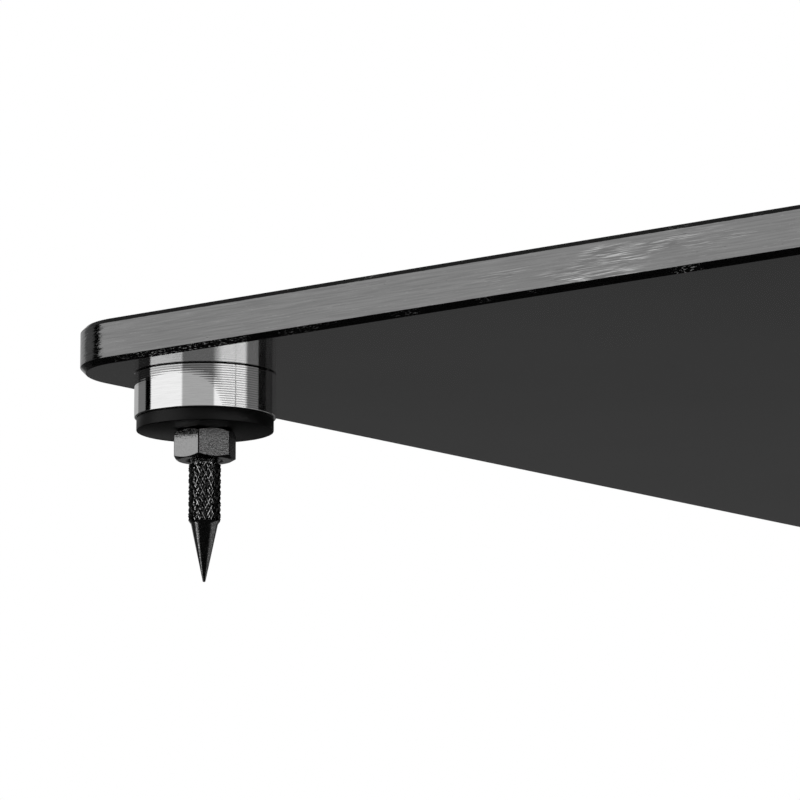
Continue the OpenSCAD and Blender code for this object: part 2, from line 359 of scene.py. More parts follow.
# The bevels are ground finer: black, with small chips and scratches that scatter light,
# most of them on the lower bevel near the front left foot.
GROUND_BEVEL = MarkedFinish(
    "ground_glass_bevel", "black_glass", ("030303", "070707"), (0.06, 0.16),
    ior=1.52, grain=(1.2, 1.2, 0.5), depth=0.02,
    mark_shades=("060606", "8c8c8c"), mark_grain=(0.7, 0.7, 0.13),
    mark_range=(0.58, 0.68), patch=(9.0, 9.0, 9.0), patch_range=(0.56, 0.76),
    spot=(-99.0, -150.0, 37.0), spot_axes=(1.0, 1.0, 6.0),
    spot_reach=36.0, spot_gain=0.3,
)
# Turned and plated brass: a clear mirror with the cutter's rings, which are modelled.
TURNED_BOSS = Finish(
    "turned_plated_brass", "polished_boss", ("e6e6e6", "efefef"), (0.04, 0.07),
    metallic=1.0, grain=(3.0, 3.0, 0.2), depth=0.0003,
)
# Moulded nylon washer, black: dull, with a fine even moulding grain.
WASHER_PLASTIC = Finish(
    "moulded_black_nylon", "foot_washer", ("040404", "080808"), (0.38, 0.48),
    ior=1.33, grain=(0.25, 0.25, 0.25), depth=0.006,
)
# Blasted steel, zinc plated black: the nut's flats, which sparkle in fine specks. The
# pits of real grit are near 0.05 mm, too fine to show, so they are drawn at 0.2 mm.
BLASTED_NUT = Finish(
    "blasted_black_zinc", "black_nut", ("3a3a3a", "8e8e8e"), (0.1, 0.2),
    metallic=1.0, grain=(0.2, 0.2, 0.2), depth=0.05,
)
# The same plating, brighter and glossier: on the turned chamfers, and as painted light
# on the two opposite flats that face along Y. Dark specks towards the top are a painted
# reflection of the black washer above it.
LIT_FLAT_AND_CHAMFER_NUT = MarkedFinish(
    "chamfer_and_painted_lit_flat_zinc", "black_nut", ("929292", "9e9e9e"), (0.06, 0.12),
    metallic=1.0, grain=(0.24, 0.24, 0.24), depth=0.01,
    # The marks are dark specks towards the top: a painted reflection of the black
    # washer above.
    mark_shades=("0e0e0e", "949494"), mark_grain=(0.22, 0.22, 0.22),
    mark_range=(0.46, 0.55), patch=(0.3, 0.3, 0.3), patch_range=(0.64, 0.94),
    spot=(0.0, 0.0, 26.7), spot_axes=(0.0, 0.0, 1.0), spot_reach=2.4, spot_gain=0.7,
)
# The nut's arrises: black.
NUT_ARRIS = Finish(
    "black_arris_zinc", "black_nut", ("101010", "1e1e1e"), (0.2, 0.3),
    metallic=1.0, grain=(0.2, 0.2, 0.2), depth=0.005,
)
# Turned steel spike, glossy black plating: a dark mirror with pinpoints of bare steel.
PLATED_SPIKE = MarkedFinish(
    "glossy_black_plated_steel", "black_spike", ("6c6c6c", "868686"), (0.06, 0.13),
    metallic=1.0, grain=(0.3, 0.3, 0.3), depth=0.005,
    mark_shades=("747474", "ececec"), mark_grain=(0.16, 0.16, 0.2),
    mark_range=(0.5, 0.68), patch=(2.0, 2.0, 2.0), patch_range=(0.1, 0.5),
)
# The knurl's steep flanks: the same black plating, painted darker than its grooves and
# crests.
KNURL_FLANK = Finish(
    "black_knurl_flank", "black_spike", ("0e0e0e", "262626"), (0.08, 0.16),
    metallic=1.0, grain=(0.2, 0.2, 0.2), depth=0.004,
)
# The knurl's grooves and crests: painted glints, bright dashes on the black plating.
KNURL_GLINTS = MarkedFinish(
    "knurl_painted_glints", "black_spike", ("141414", "2c2c2c"), (0.08, 0.16),
    metallic=1.0, grain=(0.2, 0.2, 0.2), depth=0.003,
    mark_shades=("1e1e1e", "e0e0e0"), mark_grain=(0.3, 0.3, 0.4),
    mark_range=(0.45, 0.6), patch=(2.0, 2.0, 2.0), patch_range=(0.1, 0.4),
)
# Fine-textured powder coat: matt black with an orange peel of about half a millimetre.
POWDER_COAT = Finish(
    "black_powder_coat", "black_powder", ("1d1d1e", "29292b"), (0.42, 0.6),
    grain=(0.6, 0.6, 0.6), depth=0.03,
)
# Drawn aluminium tube, black anodised: satin, with die lines that run along it.
ANODISED_TUBE = Finish(
    "black_anodised_aluminium", "black_anodised", ("343437", "464649"), (0.26, 0.38),
    metallic=1.0, grain=(0.5, 0.5, 60.0), depth=0.004,
)
# Extruded ABS cover: satin black with faint lines along the extrusion.
COVER_PLASTIC = Finish(
    "extruded_black_abs", "cover_plastic", ("161617", "202022"), (0.34, 0.46),
    grain=(0.7, 0.7, 40.0), depth=0.006,
)
# Moulded rubber: dull, dark grey, with a fine bloom.
MOULDED_RUBBER = Finish(
    "moulded_black_rubber", "black_rubber", ("191919", "262626"), (0.7, 0.88),
    grain=(0.35, 0.35, 0.35), depth=0.02,
)
# Natural nylon sleeves: milky, slightly waxy.
NATURAL_NYLON = Finish(
    "natural_nylon", "nylon", ("cfccc0", "dedbd0"), (0.4, 0.5),
    grain=(1.5, 1.5, 1.5), depth=0.01,
)
# Bright drawn steel bar: grey metal with draw lines along it.
DRAWN_STEEL = Finish(
    "bright_drawn_steel", "rod_steel", ("a9a9ab", "c2c2c4"), (0.22, 0.34),
    metallic=1.0, grain=(0.3, 0.3, 40.0), depth=0.004,
)
# Black oxide steel screws: dark grey metal, slightly oily.
OXIDE_SCREW = Finish(
    "black_oxide_steel", "black_screw", ("2c2c2d", "3e3e40"), (0.3, 0.42),
    metallic=1.0, grain=(0.4, 0.4, 0.4), depth=0.01,
)

NODE_FINISHES: dict[str, Finish] = {
    "clamp_plate": POWDER_COAT,
    "clamp_gasket": MOULDED_RUBBER,
    "hole_sleeves": NATURAL_NYLON,
    "base_gasket": MOULDED_RUBBER,
    "base_screws": OXIDE_SCREW,
    "lower_flange": POWDER_COAT,
    "column_tube": ANODISED_TUBE,
    "tie_rods": DRAWN_STEEL,
    "cable_cover": COVER_PLASTIC,
    "lower_grommet": MOULDED_RUBBER,
    "upper_grommet": MOULDED_RUBBER,
    "upper_flange": POWDER_COAT,
    "top_plate": POWDER_COAT,
    "top_screws": OXIDE_SCREW,
}


# Hand tools that every sub-assembly is modelled with


@cache
def material_of(finish: Finish) -> Material:
    """Return the finish's one material, made at its first use."""
    return finish.build()


def pick(piece: Object) -> None:
    """Select one object alone and make it the active one.

    Args:
        piece: The object.
    """
    bpy.ops.object.select_all(action="DESELECT")
    piece.select_set(True)
    bpy.context.view_layer.objects.active = piece


def open_mesh(piece: Object) -> None:
    """Open one object alone in edit mode with all of its mesh selected.

    Args:
        piece: The object.
    """
    pick(piece)
    bpy.ops.object.mode_set(mode="EDIT")
    bpy.ops.mesh.select_mode(type="VERT")
    bpy.ops.mesh.select_all(action="SELECT")


def close_mesh() -> None:
    """Close edit mode."""
    bpy.ops.object.mode_set(mode="OBJECT")


def clean_mesh(piece: Object) -> None:
    """Merge doubles and turn all faces outwards.

    Args:
        piece: The object to clean.
    """
    open_mesh(piece)
    bpy.ops.mesh.remove_doubles(threshold=MERGE_M)
    bpy.ops.mesh.normals_make_consistent(inside=False)
    close_mesh()


def select_edges(piece: Object, test: Callable[[Vector, Vector], bool]) -> None:
    """Select the edges that pass a test on their two ends, in edit mode.

    Args:
        piece: The object in edit mode.
        test: Takes both ends of an edge, in metres.
    """
    bpy.ops.mesh.select_mode(type="EDGE")
    bpy.ops.mesh.select_all(action="DESELECT")
    mesh = bmesh.from_edit_mesh(piece.data)
    for edge in mesh.edges:
        if test(edge.verts[0].co, edge.verts[1].co):
            edge.select_set(True)
    bmesh.update_edit_mesh(piece.data)


def shade_smooth(piece: Object, degrees: float = 30) -> None:
    """Shade smooth over edges flatter than the given angle."""
    pick(piece)
    bpy.ops.object.shade_smooth_by_angle(angle=math.radians(degrees))


def apply_modifier(piece: Object, kind: str, **settings: object) -> None:
    """Add a modifier, set it up and apply it.

    Args:
        piece: The object to change.
        kind: The modifier's type.
        settings: The modifier's properties.
    """
    pick(piece)
    bpy.ops.object.modifier_add(type=kind)
    modifier = piece.modifiers[-1]
    for name, value in settings.items():
        setattr(modifier, name, value)
    bpy.ops.object.modifier_apply(modifier=modifier.name)


def cut_with(piece: Object, tool: Object, how: Cut) -> None:
    """Apply a boolean with the tool, then delete the tool."""
    apply_modifier(piece, "BOOLEAN", object=tool, operation=how.value, solver="EXACT")
    bpy.data.objects.remove(tool)


def join_parts(parts: list[Object]) -> Object:
    """Join parts into one object.

    Args:
        parts: The objects to join.

    Returns:
        The first of them, which now holds them all.
    """
    pick(parts[0])
    for part in parts[1:]:
        part.select_set(True)
    bpy.ops.object.join()
    return parts[0]


def draw_outline(name: str, points: list[Point]) -> Object:
    """Draw a line through points in the XZ plane.

    Args:
        name: The object's name.
        points: Radius and height of each point.

    Returns:
        The line, one edge from point to point.
    """
    bpy.ops.mesh.primitive_plane_add(size=MM)
    piece = bpy.context.object
    piece.name = piece.data.name = name
    open_mesh(piece)
    bpy.ops.mesh.merge(type="CENTER")
    bpy.ops.transform.translate(value=(points[0][0] * MM, 0, points[0][1] * MM))
    for (x0, z0), (x1, z1) in pairwise(points):
        step = ((x1 - x0) * MM, 0, (z1 - z0) * MM)
        bpy.ops.mesh.extrude_vertices_move(TRANSFORM_OT_translate={"value": step})
    close_mesh()
    return piece


def turn_section(name: str, points: list[Point], segments: int) -> Object:
    """Turn a half section once round the Z axis.

    Args:
        name: The object's name.
        points: Radius and height of each point of the section.
        segments: Number of steps in the turn.

    Returns:
        The turned solid, with its faces outwards.
    """
    piece = draw_outline(name, points)
    open_mesh(piece)
    bpy.ops.mesh.spin(steps=segments, angle=math.tau, center=(0, 0, 0), axis=(0, 0, 1))
    close_mesh()
    clean_mesh(piece)
    return piece


def add_prism(
    name: str, corners: int, radius: float, span: Point, turn: float
) -> Object:
    """Add an upright prism.

    Args:
        name: The object's name.
        corners: Number of corners.
        radius: Distance of a corner from the axis.
        span: Lowest and highest z.
        turn: Angle of the first corner, in degrees from Blender's own.

    Returns:
        The prism, with its place in its mesh.
    """
    low, high = span
    bpy.ops.mesh.primitive_cylinder_add(
        vertices=corners,
        radius=radius * MM,
        depth=(high - low) * MM,
        location=(0, 0, (low + high) / 2 * MM),
        rotation=(0, 0, math.radians(turn)),
    )
    piece = bpy.context.object
    piece.name = piece.data.name = name
    bpy.ops.object.transform_apply()
    return piece


def move_mesh(piece: Object, place_m: Place) -> None:
    """Move the mesh and leave the object at the origin.

    Args:
        piece: The object, which is at the origin.
        place_m: How far its mesh goes along X, Y and Z, in metres.
    """
    pick(piece)
    piece.location = place_m
    bpy.ops.object.transform_apply()


def dress(
    piece: Object,
    finishes: list[Finish],
    choose: Callable[[MeshPolygon], int] | None = None,
) -> None:
    """Give the piece its materials.

    Args:
        piece: The object to dress.
        finishes: Its finishes, the main one first.
        choose: Picks a face's finish by its place in the list.
    """
    piece.data.materials.clear()
    for finish in finishes:
        piece.data.materials.append(material_of(finish))
    if choose:
        for face in piece.data.polygons:
            face.material_index = choose(face)


def settle(piece: Object, body: str, node: str) -> None:
    """Let the piece ride on a body in place of a CAD node.

    Args:
        piece: The finished piece.
        body: The CAD body that it moves with.
        node: The CAD node that it stands for.
    """
    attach(piece, body)
    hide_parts(node)
    log.info("%s: %d faces", piece.name, len(piece.data.polygons))


def size_of(node: str) -> Place:
    """Return the radius, lowest z and highest z of a CAD node found at each corner."""
    low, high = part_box(f"{node}_{Corner.FRONT_LEFT.value}")
    return (high.x - low.x) / 2 / MM, low.z / MM, high.z / MM


def copy_to_corners(master: Object, node: str, body: str) -> None:
    """Copy a dressed piece that is modelled on the Z axis to the four corners.

    Args:
        master: The piece on the Z axis; it is deleted at the end.
        node: The CAD nodes' name before the corner's name.
        body: The bodies' name, with {} where the corner's name goes.
    """
    for corner in Corner:
        low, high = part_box(f"{node}_{corner.value}")
        copy = master.copy()
        copy.data = master.data.copy()
        copy.name = copy.data.name = f"{master.name}_{corner.value}"
        bpy.context.scene.collection.objects.link(copy)
        move_mesh(copy, ((low.x + high.x) / 2, (low.y + high.y) / 2, 0))
        settle(copy, body.format(corner.value), f"{node}_{corner.value}")
    bpy.data.objects.remove(master)


@dataclass
class GlassBase:
    """The glass plate: ground edge, bevels with fine arrises, four sleeved holes.

    flat_up and edge_up are upward parts of a face's normal: a face over the first is
    the plate's top or back, and one under the second its edge.
    """

    corner_r: float = 15.0
    corner_steps: int = 28
    top_bevel: float = 0.9
    low_bevel: float = 1.0
    arris: float = 0.07
    arris_min_deg: float = 25.0
    hole_r: float = 5.0
    hole_circle_r: float = 21.0
    drill_past: float = 1.0
    flat_up: float = 0.9
    edge_up: float = 0.35

    def build(self) -> None:
        """Model and dress the plate in place of its node."""
        low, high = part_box("base_glass")
        bpy.ops.mesh.primitive_cube_add(
            size=1, location=(low + high) / 2, scale=high - low
        )
        plate = bpy.context.object
        plate.name = plate.data.name = "glass_plate"
        bpy.ops.object.transform_apply()
        self.shape_edges(plate, low.z, high.z)
        span = (low.z / MM - self.drill_past, high.z / MM + self.drill_past)
        reach_m = self.hole_circle_r * MM
        for degrees in (45, 135, 225, 315):
            angle = math.radians(degrees)
            drill = add_prism("drill", 64, self.hole_r, span, turn=0)
            move_mesh(drill, (reach_m * math.cos(angle), reach_m * math.sin(angle), 0))
            cut_with(plate, drill, Cut.REMOVE)
        apply_modifier(
            plate, "BEVEL", width=self.arris * MM, segments=2,
            limit_method="ANGLE", angle_limit=math.radians(self.arris_min_deg),
        )
        bpy.ops.object.shade_smooth()
        apply_modifier(
            plate, "WEIGHTED_NORMAL", mode="FACE_AREA", weight=100, thresh=0.001
        )
        finishes = [POLISHED_GLASS, GROUND_EDGE, GROUND_BEVEL, LACQUERED_GLASS]
        dress(plate, finishes, self.finish_index)
        settle(plate, "stand", "base_glass")

    def shape_edges(self, plate: Object, low_m: float, top_m: float) -> None:
        """Round the corners, then bevel the upper and the lower rim.

        Args:
            plate: The plain block.
            low_m: Height of the lower face, in metres.
            top_m: Height of the upper face, in metres.
        """
        open_mesh(plate)
        select_edges(plate, lambda a, b: abs(a.z - b.z) > MM)
        bpy.ops.mesh.bevel(
            offset=self.corner_r * MM, segments=self.corner_steps, affect="EDGES"
        )
        for z, width in ((top_m, self.top_bevel), (low_m, self.low_bevel)):
            select_edges(
                plate, lambda a, b, z=z: max(abs(a.z - z), abs(b.z - z)) < MERGE_M
            )
            bpy.ops.mesh.bevel(offset=width * MM, segments=1, affect="EDGES")
        close_mesh()

    def finish_index(self, face: MeshPolygon) -> int:
        """Pick the finish from how far a face looks up or down.

        Args:
            face: A face of the plate.

        Returns:
            The finish's place in the list: top, edge, bevel or back.
        """
        up = face.normal.z
        if abs(up) > self.flat_up:
            return 0 if up > 0 else 3
        return 1 if abs(up) < self.edge_up else 2


@dataclass
class SpikeFeet:
    """Boss, washer, nut and spike, each modelled once on the Z axis.

    The last group of fields holds no sizes of a piece: how far a form reaches past the
    piece that it shapes, and the limits that faces and edges are picked by.
    """

    bore_r: float = 3.0
    mouth: float = 0.4
    boss_top_bevel: float = 0.2
    boss_low_round: float = 0.24
    round_degrees: tuple[float, ...] = (22.5, 45.0, 67.5)
    ring_pitch: float = 0.42
    ring_depth: float = 0.005
    points_per_ring: int = 6
    washer_play: float = 0.4
    washer_bevel: float = 0.15
    nut_face_share: float = 0.95
    nut_chamfer_deg: float = 30.0
    nut_arris: float = 0.14
    tip_r: float = 0.25
    tip_flat_share: float = 0.7
    tip_rise_share: float = 0.4
    cone_r: float = 2.375
    cone_h: float = 10.2
    shoulder_r: float = 2.75
    grip_z: float = 10.7
    grip_h: float = 10.2
    groove_r: float = 2.58
    diamonds_round: int = 16
    diamond_rows: int = 5
    groove_half_w: float = 0.045
    stud_slope: float = 0.33
    stud_h: float = 0.32
    neck_r: float = 2.45
    neck_groove: float = 0.22
    neck_rings: int = 3
    thread_r: float = 2.95
    thread_pitch: float = 1.0
    thread_steps: int = 32

    nut_form_past: float = 0.2
    neck_in_grip: float = 0.1
    neck_in_nut: float = 0.05
    thread_spare_turns: int = 2
    thread_start_turns: float = -1.5
    chamfer_up: float = 0.3
    arris_min_deg: float = 8.0
    # Flats that face along Y more than this get the lighter finish: painted light.
    lit_flat_side: float = 0.9
    flank_rise: Point = (0.15, 0.8)
    row_play_share: float = 0.1
    step_play_share: float = 0.05
    rim_play: float = 0.02

    def build(self) -> None:
        """Model all four kinds of piece and copy each to the corners."""
        boss, washer, nut, spike = (
            make() for make in (self.boss, self.washer, self.nut, self.spike)
        )
        dress(boss, [TURNED_BOSS])
        dress(washer, [WASHER_PLASTIC])
        dress(nut, [BLASTED_NUT, LIT_FLAT_AND_CHAMFER_NUT, NUT_ARRIS], self.nut_finish)
        dress(spike, [PLATED_SPIKE, KNURL_FLANK, KNURL_GLINTS], self.spike_finish)
        copy_to_corners(boss, "foot_boss", "stand")
        copy_to_corners(washer, "foot_washer", "stand")
        copy_to_corners(nut, "lock_nut", "nut_{}")
        copy_to_corners(spike, "spike", "spike_{}")

    def nut_finish(self, face: MeshPolygon) -> int:
        """Pick a nut face's finish from the way it looks.

        Args:
            face: A face of the nut.

        Returns:
            The finish's place in the list: blasted flat, chamfer or flat painted
            light, or arris.
        """
        normal = face.normal
        if abs(normal.z) > self.chamfer_up:
            return 1
        step = math.tau / NUT_SIDES
        off = (math.atan2(normal.y, normal.x) - step / 2) % step
        if min(off, step - off) > math.radians(self.arris_min_deg):
            return 2
        # The two flats that face along Y get the lighter finish: painted light.
        return 1 if abs(normal.y) > self.lit_flat_side else 0

    def spike_finish(self, face: MeshPolygon) -> int:
        """Pick a spike face's finish from its height and its distance from the axis.

        Args:
            face: A face of the spike.

        Returns:
            The finish's place in the list: plating, knurl flank painted dark, or
            knurl groove or crest with painted glints.
        """
        x, y, z = face.center
        reach = math.hypot(x, y) / MM
        if not self.grip_z < z / MM < self.grip_z + self.grip_h or reach < self.neck_r:
            return 0
        low, high = self.flank_rise
        # Flanks take the painted dark finish; grooves and crests take the painted
        # glints.
        return 1 if low < (reach - self.groove_r) / self.stud_h < high else 2

    def bore(self, low: float, high: float) -> list[Point]:
        """List the points of a bore with bevelled mouths.

        Args:
            low: Lowest z of the piece.
            high: Highest z of the piece.

        Returns:
            Radius and height of each point, from the bottom up.
        """
        wide, mouth = self.bore_r + self.mouth, self.mouth
        near, far = (self.bore_r, low + mouth), (self.bore_r, high - mouth)
        return [(wide, low), near, far, (wide, high)]

    def boss(self) -> Object:
        """Turn the boss with the cutter's fine rings round its side.

        Returns:
            The boss on the Z axis.
        """
        radius, low, high = size_of("foot_boss")
        soft = self.boss_low_round
        bottom, top = low + soft, high - self.boss_top_bevel
        rings = round((top - bottom) / self.ring_pitch)
        count = rings * self.points_per_ring
        side = []
        for i in range(count + 1):
            phase = math.tau * i / self.points_per_ring
            depth = self.ring_depth * (1 - math.cos(phase)) / 2
            side.append((radius - depth, top + (bottom - top) * i / count))
        for degrees in self.round_degrees:
            turn = math.radians(degrees)
            x = radius - soft * (1 - math.cos(turn))
            side.append((x, bottom - soft * math.sin(turn)))
        bore = self.bore(low, high)
        points = [
            bore[-1],
            (radius - self.boss_top_bevel, high),
            *side,
            (radius - soft, low),
            *bore,
        ]
        boss = turn_section("boss", points, segments=160)
        shade_smooth(boss)
        return boss

    def washer(self) -> Object:
        """Turn the washer with softened rims.

        Returns:
            The washer on the Z axis.
        """
        radius, low, high = size_of("foot_washer")
        hole, soft = self.bore_r + self.washer_play, self.washer_bevel
        near = soft * SOFT_SHARE
        points = [
            (hole, high),
            (radius - soft, high),
            (radius - near, high - near),
            (radius, high - soft),
            (radius, low + soft),
            (radius - near, low + near),
            (radius - soft, low),
            (hole, low),
            (hole, high),
        ]
        washer = turn_section("washer", points, segments=128)
        shade_smooth(washer, degrees=50)
        return washer

    def nut(self) -> Object:
        """Cut the nut from a hexagon bar with chamfers at both ends.

        Returns:
            The nut on the Z axis, with two of its corners on the X axis.
        """
        radius, low, high = size_of("lock_nut")
        half_turn = 180 / NUT_SIDES
        face_r = self.nut_face_share * radius * math.cos(math.radians(half_turn))
        rim = radius + self.nut_form_past
        rise = (rim - face_r) * math.tan(math.radians(self.nut_chamfer_deg))
        bar = add_prism("nut", NUT_SIDES, radius, span=(low, high), turn=half_turn)
        open_mesh(bar)
        select_edges(bar, lambda a, b: abs(a.z - b.z) > MM)
        bpy.ops.mesh.bevel(offset=self.nut_arris * MM, segments=1, affect="EDGES")
        close_mesh()
        bore = self.bore(low, high)
        outside = [(face_r, high), (rim, high - rise), (rim, low + rise), (face_r, low)]
        form = turn_section("form", [bore[-1], *outside, *bore], segments=96)
        cut_with(bar, form, Cut.KEEP_COMMON)
        shade_smooth(bar, degrees=20)
        return bar

    def spike(self) -> Object:
        """Join the turned point, the knurled grip, the neck and the threaded shank.

        Returns:
            The spike on the Z axis.
        """
        _, _, top = size_of("spike")
        _, nut_z, _ = size_of("lock_nut")
        points = [
            (0, 0),
            (self.tip_r * self.tip_flat_share, 0),
            (self.tip_r, self.tip_r * self.tip_rise_share),
            (self.cone_r, self.cone_h),
            (self.shoulder_r, self.grip_z),
            (0, self.grip_z),
        ]
        point = turn_section("spike", points, segments=64)
        shade_smooth(point)
        neck = self.neck(nut_z)
        grip = self.knurl()
        shank = self.thread(nut_z, top)
        return join_parts([point, grip, neck, shank])

    def neck(self, nut_z: float) -> Object:
        """Turn the short neck between grip and nut, with its rings.

        Args:
            nut_z: Height of the nut's lower face.

        Returns:
            The neck, which ends inside the grip and the nut.
        """
        grip_top = self.grip_z + self.grip_h
        low, high = grip_top - self.neck_in_grip, nut_z + self.neck_in_nut
        steps = 2 * self.neck_rings
        rings = []
        for i in range(steps + 1):
            groove = self.neck_groove if i % 2 else 0
            z = grip_top + (nut_z - grip_top) * i / steps
            rings.append((self.neck_r - groove, z))
        points = [(0, low), (self.neck_r, low), *rings, (self.neck_r, high), (0, high)]
        neck = turn_section("neck", points, segments=48)
        shade_smooth(neck)
        return neck

    def knurl(self) -> Object:
        """Raise diamonds on a drum, with crossing grooves between them.

        Returns:
            The knurled drum, closed at both ends.
        """
        rows = self.diamond_rows
        row_h = self.grip_h / rows
        wall = [(self.groove_r, self.grip_z + i * row_h) for i in range(rows + 1)]
        drum = turn_section("grip", wall, segments=self.diamonds_round)
        open_mesh(drum)
        bpy.ops.mesh.select_mode(type="FACE")
        bpy.ops.mesh.poke()
        near_m = row_h * MM * self.row_play_share
        select_edges(
            drum,
            lambda a, b: abs(abs(a.z - b.z) - row_h * MM) < near_m
            or self.level_inside(a, b),
        )
        bpy.ops.mesh.dissolve_edges(use_verts=False)
        bpy.ops.mesh.select_mode(type="FACE")
        bpy.ops.mesh.select_all(action="SELECT")
        bpy.ops.mesh.inset(thickness=self.groove_half_w * MM, use_individual=True)
        bpy.ops.mesh.inset(
            thickness=self.stud_slope * MM, depth=self.stud_h * MM, use_individual=True
        )
        for end_m in (self.grip_z * MM, (self.grip_z + self.grip_h) * MM):
            select_edges(drum, lambda a, b, z=end_m: self.on_rim(a, b, z))
            bpy.ops.mesh.edge_face_add()
        close_mesh()
        clean_mesh(drum)
        shade_smooth(drum, degrees=40)
        return drum

    def level_inside(self, a: Vector, b: Vector) -> bool:
        """Tell whether an edge is level and not at either end of the grip.

        Args:
            a: One end of the edge, in metres.
            b: The other end.

        Returns:
            True for a level edge inside the grip.
        """
        low, high = self.grip_z * MM, (self.grip_z + self.grip_h) * MM
        level = abs(a.z - b.z) < MERGE_M
        return level and low + MERGE_M < a.z < high - MERGE_M

    def on_rim(self, a: Vector, b: Vector, end_m: float) -> bool:
        """Tell whether an edge spans one whole step of the drum's rim.

        Args:
            a: One end of the edge, in metres.
            b: The other end.
            end_m: Height of the rim, in metres.

        Returns:
            True for an edge of that rim.
        """
        at_end = max(abs(a.z - end_m), abs(b.z - end_m)) < MERGE_M
        outside = min(a.xy.length, b.xy.length) > (self.groove_r - self.rim_play) * MM
        step = 2 * self.groove_r * MM * math.sin(math.pi / self.diamonds_round)
        whole = abs((a - b).length - step) < step * self.step_play_share
        return at_end and outside and whole

    def thread(self, low: float, high: float) -> Object:
        """Sweep a V thread up the shank and cut it off square at both ends.

        Args:
            low: Lowest z of the thread.
            high: Highest z of the thread.

        Returns:
            The threaded shank, closed at both ends.
        """
        pitch = self.thread_pitch
        line = []
        for i in range(math.ceil((high - low) / pitch) + self.thread_spare_turns):
            z = low + (i + self.thread_start_turns) * pitch
            line.append((self.neck_r, z))
            line.append((self.thread_r, z + pitch / 2))
        shank = draw_outline("shank", line)
        apply_modifier(
            shank, "SCREW", angle=math.tau, screw_offset=pitch * MM,
            steps=self.thread_steps, render_steps=self.thread_steps, axis="Z",
        )
        clean_mesh(shank)
        for z, side in ((high, 1), (low, -1)):
            open_mesh(shank)
            bpy.ops.mesh.bisect(
                plane_co=(0, 0, z * MM), plane_no=(0, 0, side),
                use_fill=True, clear_outer=True,
            )
            close_mesh()
        clean_mesh(shank)
        shade_smooth(shank)
        return shank


@dataclass
class TopPads:
    """The four rubber pads, with shallow grip rings in their upper face."""

    soft: float = 0.6
    ring_radii: tuple[float, ...] = (3.0, 5.5, 8.0)
    ring_w: float = 0.5
    ring_depth: float = 0.4

    def build(self) -> None:
        """Turn one pad and copy it to the corners."""
        radius, bottom, top = size_of("top_pad")
        points = [(0, top)]
        for ring in self.ring_radii:
            points += [
                (ring - self.ring_w, top),
                (ring - self.ring_w / 2, top - self.ring_depth),
                (ring + self.ring_w / 2, top - self.ring_depth),
                (ring + self.ring_w, top),
            ]
        near = self.soft * SOFT_SHARE
        points += [
            (radius - self.soft, top),
            (radius - near, top - near),
            (radius, top - self.soft),
            (radius, bottom),
            (0, bottom),
        ]
        pad = turn_section("pad", points, segments=96)
        shade_smooth(pad, degrees=40)
        dress(pad, [MOULDED_RUBBER])
        copy_to_corners(pad, "top_pad", "stand")


@dataclass(frozen=True)
class Panel:
    """One upright panel of the surroundings, which starts where the last one ends.

    Attributes:
        end: Where it ends, in degrees round the stand; a row starts at -180.
        level: Its brightness.
        top: How far up or down it reaches, as the sine of its height angle.
        soft: How many degrees its first edge is blurred over.
    """

    end: float
    level: float
    top: float
    soft: float = 2.0


